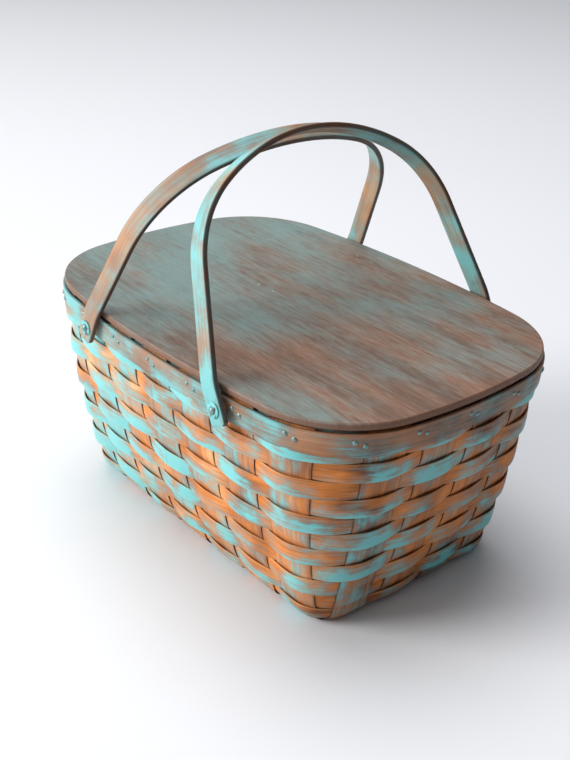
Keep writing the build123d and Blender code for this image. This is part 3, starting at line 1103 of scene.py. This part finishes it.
class BASKET_OT_hardware(bpy.types.Operator):
    """Drive the brads and nails and set the rivets with their washers"""

    bl_idname = "basket.hardware"
    bl_label = "Nails and rivets"

    def execute(self, context):
        nail = painted_nail()
        dome = [(0.0001, 0.0), (0.9, -0.1), (1.6, -0.4), (2.1, -0.8), (2.3, -1.3)]
        dome += [(0.55, -1.35), (0.55, -10.0), (0.0001, -10.3)]
        brads = []
        for number, group in enumerate(solids_of("rim_brads")):
            middle = sum(group, Vector()) / len(group)
            axis = brad_axis(group)
            tip = max(p.dot(axis) for p in group)
            centre = middle + axis * (tip - middle.dot(axis))
            brads.append(turned_piece(f"brad_{number}", dome, centre, axis))
        finish_piece(joined("hammered_rim_brads", brads), "rim_brads", "basket", nail)

        flat = [(0.0001, 0.3), (1.0, 0.26), (1.3, 0.05), (1.3, -0.1)]
        flat += [(0.6, -0.2), (0.6, -9.3), (0.0001, -9.5)]
        nails = []
        for number, group in enumerate(solids_of("lid_nails")):
            middle = sum(group, Vector()) / len(group)
            place = (middle.x, middle.y, LID_HIGH.z)
            nails.append(turned_piece(f"nail_{number}", flat, place, (0, 0, 1)))
        finish_piece(joined("flush_lid_nails", nails), "lid_nails", "lid", nail)

        washer_start = STRAP_SPAN + sizes().strap / MM + AXIAL_PLAY
        head_start = washer_start + WASHER_THICKNESS
        rivet = [(0.0001, 2.5), (1.4, 2.35), (2.7, 1.8), (3.6, 0.9), (4.0, 0.0), (2.0, -0.05)]
        rivet += [(2.0, -25.4), (3.0, -25.4), (2.4, -26.5), (0.0001, -26.8)]
        ring = [(2.15, 0.0), (7.0, 0.0), (7.25, 0.3), (7.1, 1.0), (6.6, 1.25), (2.3, 1.2), (2.15, 0.0)]
        drum = [(2.15, 0.0), (5.9, 0.0), (6.0, 0.3), (6.0, 3.4), (5.8, 3.7), (2.15, 3.7), (2.15, 0.0)]
        burr = [(2.15, 1.2), (4.8, 1.2), (5.0, 0.9), (4.7, 0.1), (2.15, 0.0), (2.15, 1.2)]
        spacer = dry_brushed_splint("turned_wood_spacer", cover=0.3, edge_hue=tuple(colours().wood_dark))
        for name, replaced, profile, start, material in (
            ("domed_handle_rivets", "handle_rivets", rivet, head_start, nail),
            ("pressed_rivet_washers", "rivet_washers", ring, washer_start, painted_washer()),
            ("turned_strap_spacers", "strap_spacers", drum, SPACER_START, spacer),
            ("pressed_rivet_burrs", "rivet_burrs", burr, BURR_START, nail),
        ):
            pieces = []
            for along in (-1, 1):
                for side in (-1, 1):
                    place = (along * PIVOT[0] * MM, 0, PIVOT[1] * MM)
                    pieces.append(turned_piece(name, moved_out(profile, start), place, (0, side, 0)))
            finish_piece(joined(name, pieces), replaced, "basket", material)
        return {"FINISHED"}


def brad_axis(group):
    """The way a brad points out of the rim: from its thin end to its wide head."""
    cloud = np.array([tuple(p) for p in group])
    centre = cloud.mean(0)
    spread = np.linalg.svd(cloud - centre)[2][0]
    if spread[0] * centre[0] + spread[1] * centre[1] < 0:
        spread = -spread
    return Vector(spread).normalized()


class BASKET_OT_stage(bpy.types.Operator):
    """Set up the pale floor, the soft window light and the camera"""

    bl_idname = "basket.stage"
    bl_label = "Stage"

    def execute(self, context):
        bpy.ops.object.select_all(action="DESELECT")
        bpy.ops.mesh.primitive_grid_add(x_subdivisions=40, y_subdivisions=40, size=1, location=(0, 0, 0))
        floor = context.object
        floor.name = "floor"
        floor.scale = (14, 14, 1)
        bpy.ops.object.transform_apply(scale=True)
        floor.data.materials.append(chalky_floor())

        world = bpy.data.worlds.new("pale_room")
        context.scene.world = world
        world.use_nodes = True
        tree = world.node_tree
        tree.nodes.clear()
        # brighter towards the window at the left, dim at the right, as in a room lit from one side
        way = node(tree, "ShaderNodeTexCoord", {}).outputs["Generated"]
        links = {0: way, 1: (-0.56, -0.50, 0.66)}
        towards = node(tree, "ShaderNodeVectorMath", links, operation="DOT_PRODUCT").outputs["Value"]
        share = layered(tree, 0.5, [], [(towards, 0.5)])
        glow_stops = [(0.3, (0.02, 0.018, 0.017)), (0.55, (0.19, 0.193, 0.2)), (0.92, (0.94, 0.96, 1.0))]
        glow = node(tree, "ShaderNodeValToRGB", {0: share}, glow_stops).outputs["Color"]
        sky = node(tree, "ShaderNodeBackground", {"Color": glow, "Strength": 0.78})
        node(tree, "ShaderNodeOutputWorld", {"Surface": sky.outputs[0]})
        context.scene.view_settings.view_transform = "Standard"

        for name, place, size, power, tint in (
            ("window", (-2.0, -3.3, 1.6), 2.2, 182, (1.0, 0.985, 0.96)),
            ("skylight", (-0.8, 0.3, 3.5), 2.8, 86, (0.97, 0.98, 1.0)),
        ):
            light = bpy.data.lights.new(name, "AREA")
            light.shape = "DISK"
            light.size = size
            light.energy = power
            light.color = tint
            lamp = bpy.data.objects.new(name, light)
            lamp.location = place
            aim = Vector((0.0, 0.0, 0.12)) - Vector(place)
            lamp.rotation_euler = aim.to_track_quat("-Z", "Y").to_euler()
            context.scene.collection.objects.link(lamp)

        eye = bpy.data.cameras.new("camera")
        eye.sensor_width = 36
        eye.lens = 1181.2 / 760 * 36
        camera = bpy.data.objects.new("camera", eye)
        right = Vector((0.6450, 0.7631, 0.0400)).normalized()
        up = Vector((-0.3746, 0.2702, 0.8869)).normalized()
        back = right.cross(up).normalized()
        turn = Matrix((right, up, back)).transposed()
        camera.matrix_world = Matrix.Translation((0.7638, -0.6790, 0.6686)) @ turn.to_4x4()
        context.scene.collection.objects.link(camera)
        context.scene.camera = camera
        return {"FINISHED"}


class BASKET_PT_sidebar(bpy.types.Panel):
    """Sizes, colours and the steps that build the basket"""

    bl_label = "Splint basket"
    bl_idname = "BASKET_PT_sidebar"
    bl_space_type = "VIEW_3D"
    bl_region_type = "UI"
    bl_category = "Basket"

    def draw(self, context):
        layout = self.layout
        for group in (context.scene.basket_sizes, context.scene.basket_colours):
            for name in group.bl_rna.properties.keys():
                if name not in ("rna_type", "name"):
                    layout.prop(group, name)
        for step in STEPS:
            layout.operator(step.bl_idname)


STEPS = (
    BASKET_OT_weavers,
    BASKET_OT_stakes,
    BASKET_OT_rim,
    BASKET_OT_handles,
    BASKET_OT_lid,
    BASKET_OT_hardware,
    BASKET_OT_stage,
)
CLASSES = (BasketSizes, BasketColours, *STEPS, BASKET_PT_sidebar)


def register():
    for item in CLASSES:
        bpy.utils.register_class(item)
    bpy.types.Scene.basket_sizes = bpy.props.PointerProperty(type=BasketSizes)
    bpy.types.Scene.basket_colours = bpy.props.PointerProperty(type=BasketColours)


def unregister():
    del bpy.types.Scene.basket_colours
    del bpy.types.Scene.basket_sizes
    for item in reversed(CLASSES):
        bpy.utils.unregister_class(item)


def main():
    register()
    bpy.ops.basket.weavers()
    bpy.ops.basket.stakes()
    bpy.ops.basket.rim()
    bpy.ops.basket.handles()
    bpy.ops.basket.lid()
    bpy.ops.basket.hardware()
    bpy.ops.basket.stage()


if __name__ == "__main__":
    main()
